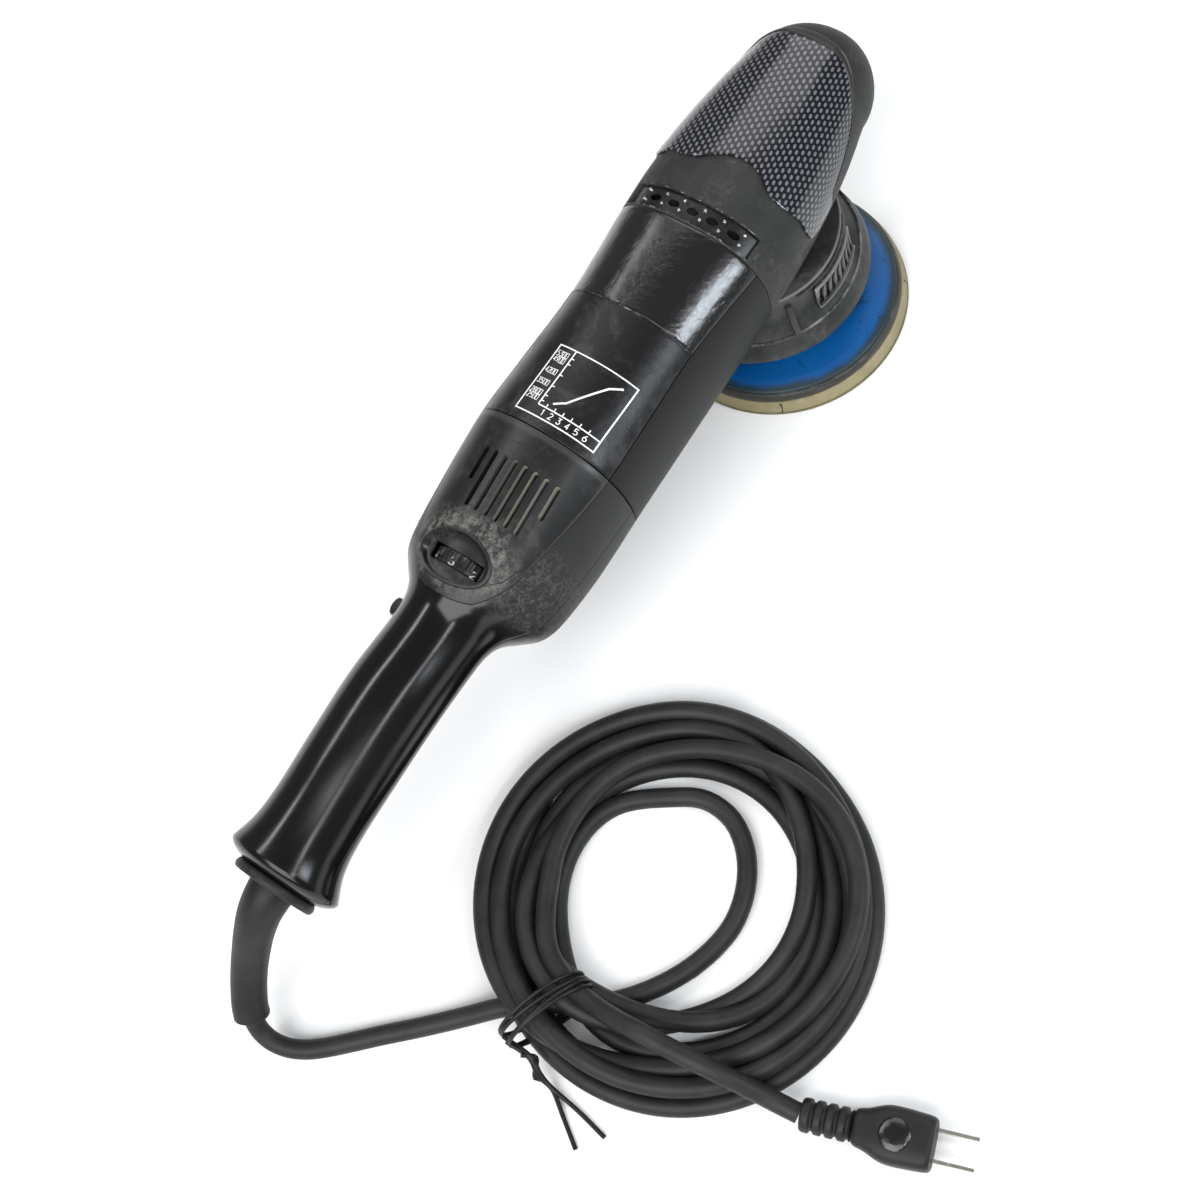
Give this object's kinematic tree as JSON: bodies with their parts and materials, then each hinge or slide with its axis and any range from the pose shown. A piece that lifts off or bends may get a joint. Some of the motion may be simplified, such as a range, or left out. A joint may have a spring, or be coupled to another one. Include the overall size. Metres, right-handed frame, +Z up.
{
  "type": "dual action polisher",
  "caption": "Corded dual action polisher with a nose grip, rubber shroud, round backing plate, long rear handle and a tied coil of mains lead.",
  "frame": {"origin": "where the spindle axis meets the plane of the hook face, which is the plane that the plate and the lead rest on", "axes": "+X towards the nose, +Y to the left of the tool, +Z up along the spindle away from the hook face"},
  "size_m": [0.5298, 0.3606, 0.1278],
  "materials": {
    "cover_rubber": "matte, dusty scuffs",
    "weave_panel": "glossy, woven pattern",
    "shroud_rubber": "matte, worn",
    "gloss_black": "polished",
    "satin_black": "satin",
    "pad_grey": "fine texture",
    "nylon": "moulded",
    "plate_blue": "satin, worn",
    "rim_grey": "matte",
    "foam": "worn foam",
    "hook_pile": "hook pile",
    "cast_aluminium": "cast",
    "steel": "ground",
    "laminate": "stacked sheet steel",
    "copper_wire": "enamelled wire",
    "brass_sheet": "pressed sheet",
    "carbon": "pressed carbon",
    "circuit_board": "circuit board",
    "cord_rubber": "matte",
    "tie_black": "coated wire",
    "nickel": "nickel plated"
  },
  "bodies": {
    "housing": {"head_cover": "cover_rubber", "nose_insert": "weave_panel", "exhaust_grille": "satin_black", "gear_case": "cast_aluminium", "shroud": "shroud_rubber", "motor_housing": "nylon", "top_panel": "gloss_black", "side_pad_left": "pad_grey", "side_pad_right": "pad_grey", "rear_cap": "satin_black", "dial_bezel": "satin_black", "handle_upper": "gloss_black", "handle_lower": "gloss_black", "handle_screw_1": "steel", "handle_screw_2": "steel", "speed_board": "circuit_board", "trigger_pin": "steel", "switch_body": "nylon", "cord_clamp": "nylon", "trigger_spring": "steel", "field_stator": "laminate", "field_winding_upper": "copper_wire", "field_winding_lower": "copper_wire", "front_bearing": "steel", "rear_bearing": "steel", "bearing_bracket": "cast_aluminium", "brush_holder_left": "brass_sheet", "brush_holder_right": "brass_sheet", "carbon_brush_left": "carbon", "carbon_brush_right": "carbon", "spindle_bearing_upper": "steel", "spindle_bearing_lower": "steel", "cord_boot": "cord_rubber", "cord_lead": "cord_rubber", "cord_coil": "cord_rubber", "cord_tail": "cord_rubber", "cord_tie": "tie_black", "plug_relief": "cord_rubber", "plug_body": "cord_rubber", "plug_blade_left": "nickel", "plug_blade_right": "nickel"},
    "armature": {"armature_shaft": "steel", "armature_core": "laminate", "armature_winding_front": "copper_wire", "armature_winding_rear": "copper_wire", "commutator": "copper_wire", "cooling_fan": "nylon", "bevel_pinion": "steel"},
    "spindle": {"spindle_shaft": "steel", "crown_gear": "steel", "counterweight": "steel", "plate_bearing": "steel"},
    "plate": {"backing_plate": "plate_blue", "plate_rim": "rim_grey", "foam_layer": "foam", "hook_layer": "hook_pile", "plate_bolt": "steel"},
    "trigger": {"trigger": "satin_black"},
    "lock_button": {"lock_button": "satin_black"},
    "speed_wheel": {"speed_wheel": "satin_black"}
  },
  "joints": [
    {"name": "spindle_orbit", "type": "hinge", "parent": "housing", "child": "spindle", "pos_m": [0, 0, 0.06], "axis": [0, 0, 1], "continuous": true},
    {"name": "plate_spin", "type": "hinge", "parent": "spindle", "child": "plate", "pos_m": [0, -0.0075, 0.03], "axis": [0, 0, 1], "continuous": true},
    {"name": "armature_spin", "type": "hinge", "parent": "housing", "child": "armature", "pos_m": [-0.1, 0, 0.083], "axis": [1, 0, 0], "continuous": true},
    {"name": "trigger_pull", "type": "hinge", "parent": "housing", "child": "trigger", "pos_m": [-0.256, 0, 0.067], "axis": [0, 1, 0], "range_deg": [0, 7], "stiffness_Nm_per_rad": 1.2, "springref_deg": -3.44, "deforming": ["trigger_spring"]},
    {"name": "lock_press", "type": "slide", "parent": "housing", "child": "lock_button", "axis": [0, -1, 0], "range_m": [0, 0.003], "stiffness_N_per_m": 400, "springref_m": -0.001},
    {"name": "speed_dial", "type": "hinge", "parent": "housing", "child": "speed_wheel", "pos_m": [-0.216, 0.001, 0.0985], "axis": [1, 0, 0], "range_deg": [-90, 135]}
  ],
  "couplings": [
    {"joint": "armature_spin", "follows": "spindle_orbit", "ratio": -4}
  ]
}
